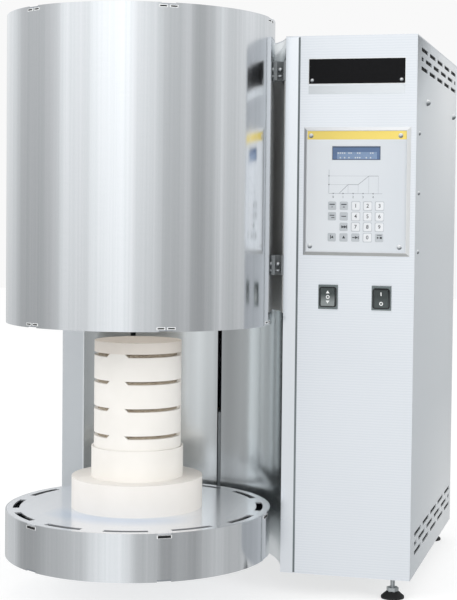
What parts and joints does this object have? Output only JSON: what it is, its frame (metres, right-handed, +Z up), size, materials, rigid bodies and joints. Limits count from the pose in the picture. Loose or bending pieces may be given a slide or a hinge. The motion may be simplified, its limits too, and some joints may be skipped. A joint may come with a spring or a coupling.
{
  "type": "dental lab furnace",
  "caption": "Lift-bottom laboratory sintering furnace: fixed round drum, rising round table with a stack of ceramic dishes, and a vented housing with a controller.",
  "frame": {"origin": "centre of the overall box at floor level, under the feet", "axes": "+X right, +Y to the back, +Z up, seen from the front with the controller on the right"},
  "size_m": [0.5356, 0.6218, 0.7635],
  "materials": {
    "drum_stainless": "satin",
    "front_steel": "satin",
    "housing_grey": "satin",
    "hollow_steel": "polished",
    "zinc": "satin",
    "fibre_board": "matte",
    "white_ceramic": "matte",
    "lid_ceramic": "matte",
    "element_dark": "matte",
    "black_plastic": "matte",
    "rim_plastic": "matte",
    "rocker_plastic": "satin",
    "foil": "satin",
    "key_print": "satin",
    "bezel_plastic": "satin",
    "display": "gloss",
    "bronze": "satin",
    "plain_aluminium": "satin",
    "foot_rubber": "matte",
    "plate_black": "gloss",
    "core_steel": "matte"
  },
  "bodies": {
    "root": {"base_plate": "zinc", "right_side_panel": "housing_grey", "left_side_panel": "housing_grey", "front_panel": "front_steel", "recess_sheet": "hollow_steel", "housing_lid": "front_steel", "back_panel": "housing_grey", "drum_jacket": "drum_stainless", "drum_top_cover": "drum_stainless", "drum_bottom_ring": "drum_stainless", "drum_inner_shell": "hollow_steel", "chamber_wall_insulation": "fibre_board", "chamber_roof_insulation": "fibre_board", "exhaust_tube": "white_ceramic", "heating_elements": "element_dark", "element_holders": "white_ceramic", "thermocouple": "white_ceramic", "drum_brackets": "zinc", "lift_mast": "zinc", "lift_end_blocks": "plain_aluminium", "guide_rods": "zinc", "spindle_bearings": "zinc", "lift_motor": "core_steel", "transformer": "core_steel", "mounting_plate": "zinc", "power_controller": "plain_aluminium", "contactor": "black_plastic", "controller_case": "black_plastic", "controller_bezel": "bezel_plastic", "controller_foil": "foil", "display_window": "display", "keypad_keys": "key_print", "nameplate": "plate_black", "table_switch_housing": "rim_plastic", "main_switch_housing": "rim_plastic", "panel_screws": "zinc", "fan_frame": "black_plastic", "fan_guard": "zinc", "mains_inlet": "black_plastic", "foot_pads": "foot_rubber", "foot_studs": "zinc"},
    "table": {"table_jacket": "drum_stainless", "table_top_plate": "drum_stainless", "table_bottom_plate": "drum_stainless", "insulation_plug": "fibre_board", "saggar_pedestal": "white_ceramic", "lift_arms": "zinc", "carriage": "plain_aluminium", "guide_bushes": "bronze", "spindle_nut": "bronze"},
    "spindle": {"lift_spindle": "zinc", "spindle_coupling": "plain_aluminium"},
    "fan": {"fan_rotor": "black_plastic"},
    "table_rocker": {"table_switch_rocker": "rocker_plastic"},
    "main_rocker": {"main_switch_rocker": "rocker_plastic"},
    "dish_1": {"saggar_1": "white_ceramic"},
    "dish_2": {"saggar_2": "white_ceramic"},
    "dish_3": {"saggar_3": "white_ceramic"},
    "dish_4": {"saggar_4": "white_ceramic"},
    "dish_lid": {"saggar_lid": "lid_ceramic"}
  },
  "joints": [
    {"name": "table_lift", "type": "slide", "parent": "root", "child": "table", "axis": [0, 0, 1], "range_m": [0, 0.2445]},
    {"name": "spindle_turn", "type": "hinge", "parent": "root", "child": "spindle", "pos_m": [-0.10099, 0.0992, 0.3], "axis": [0, 0, 1], "range_deg": [0, 8804]},
    {"name": "fan_turn", "type": "hinge", "parent": "root", "child": "fan", "pos_m": [0.18829, 0.2859, 0.588], "axis": [0, 1, 0], "continuous": true},
    {"name": "table_switch_tip", "type": "hinge", "parent": "root", "child": "table_rocker", "pos_m": [0.15222, -0.0911, 0.3972], "axis": [1, 0, 0], "range_deg": [-8, 8], "stiffness_Nm_per_rad": 0.02},
    {"name": "main_switch_tip", "type": "hinge", "parent": "root", "child": "main_rocker", "pos_m": [0.22312, -0.0911, 0.3972], "axis": [1, 0, 0], "range_deg": [-16, 0]},
    {"name": "dish_1_lift", "type": "slide", "parent": "table", "child": "dish_1", "axis": [0, 0, 1], "range_m": [0, 0.008]},
    {"name": "dish_2_lift", "type": "slide", "parent": "dish_1", "child": "dish_2", "axis": [0, 0, 1], "range_m": [0, 0.008]},
    {"name": "dish_3_lift", "type": "slide", "parent": "dish_2", "child": "dish_3", "axis": [0, 0, 1], "range_m": [0, 0.008]},
    {"name": "dish_4_lift", "type": "slide", "parent": "dish_3", "child": "dish_4", "axis": [0, 0, 1], "range_m": [0, 0.008]},
    {"name": "dish_lid_lift", "type": "slide", "parent": "dish_4", "child": "dish_lid", "axis": [0, 0, 1], "range_m": [0, 0.02]}
  ],
  "couplings": [
    {"joint": "spindle_turn", "follows": "table_lift", "rad_per_m": 628.32}
  ]
}
